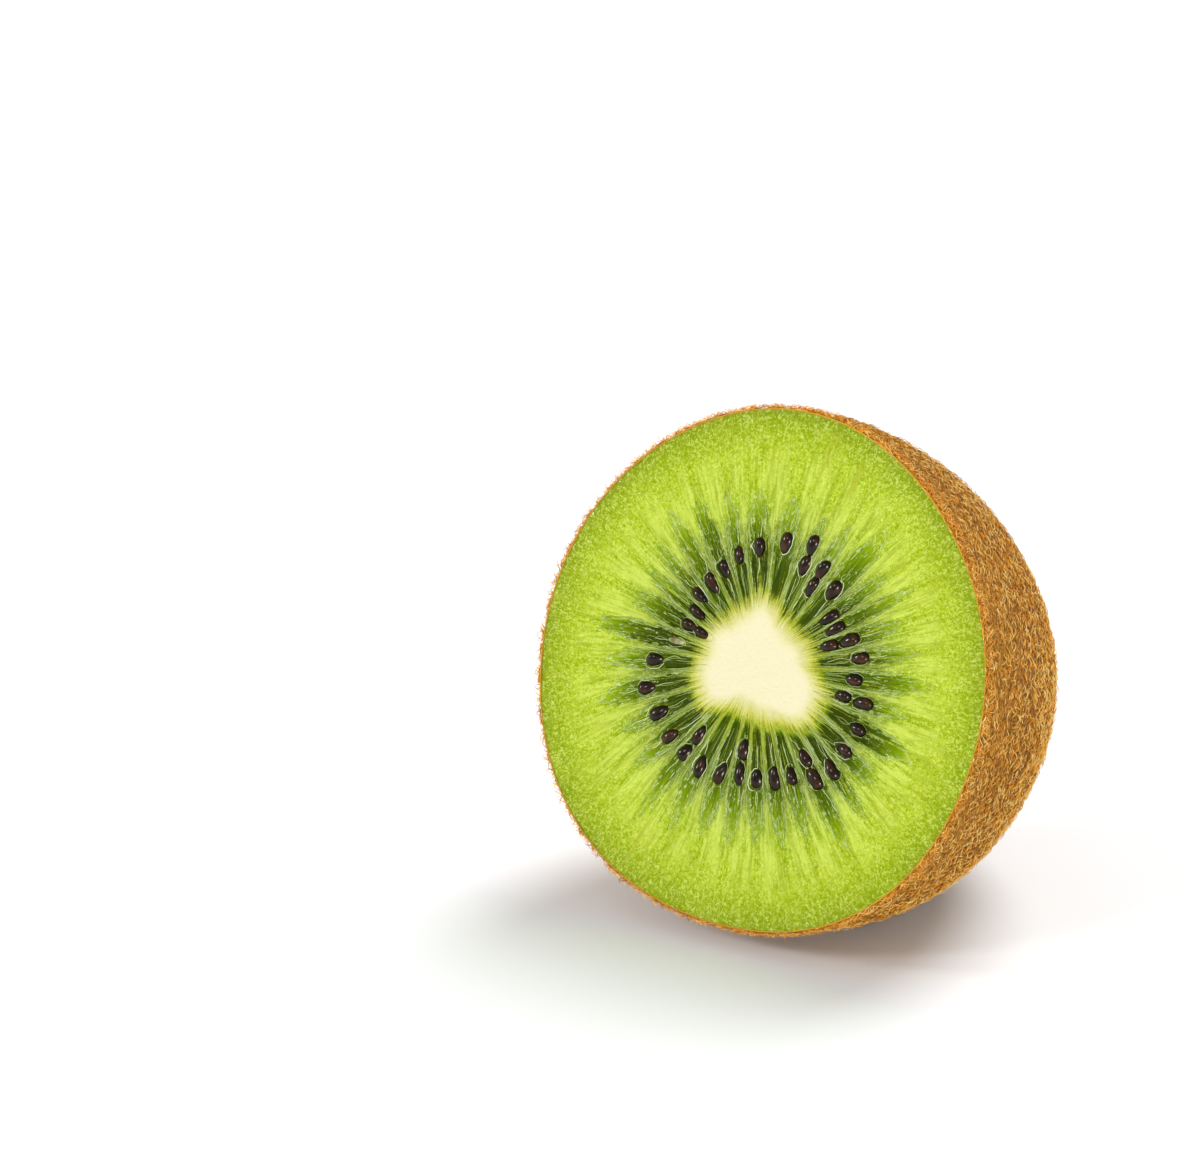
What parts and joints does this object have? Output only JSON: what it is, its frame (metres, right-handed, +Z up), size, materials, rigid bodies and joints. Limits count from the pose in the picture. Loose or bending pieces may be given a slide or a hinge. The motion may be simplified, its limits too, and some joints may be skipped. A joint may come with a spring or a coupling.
{
  "type": "kiwi fruit half",
  "caption": "Half of a ripe green kiwi fruit, lying on its side: flat cut face leaning back, round hairy body narrowing to a stalk scar, small flat spot to rest on.",
  "frame": {"origin": "on the table, under the middle of the half's bounding box", "axes": "+Z up from the table; the cut face looks towards -Y and 18.3 degrees up; the stalk end points towards +Y and down; X runs across the cut face"},
  "size_m": [0.0516, 0.043, 0.0514],
  "materials": {
    "skin": "thin matt brown rind under a coat of short curly tan and orange hairs",
    "flesh": "moist bright green flesh with paler rays and darker green seed chambers, finely grained, slightly see-through",
    "core": "moist cream-white core, soft at its edge",
    "seed": "smooth glossy brown-black",
    "stalk_scar": "rough woody button, mottled tan and dark brown"
  },
  "bodies": {
    "root": {"kiwi_half": "flesh"}
  },
  "joints": []
}
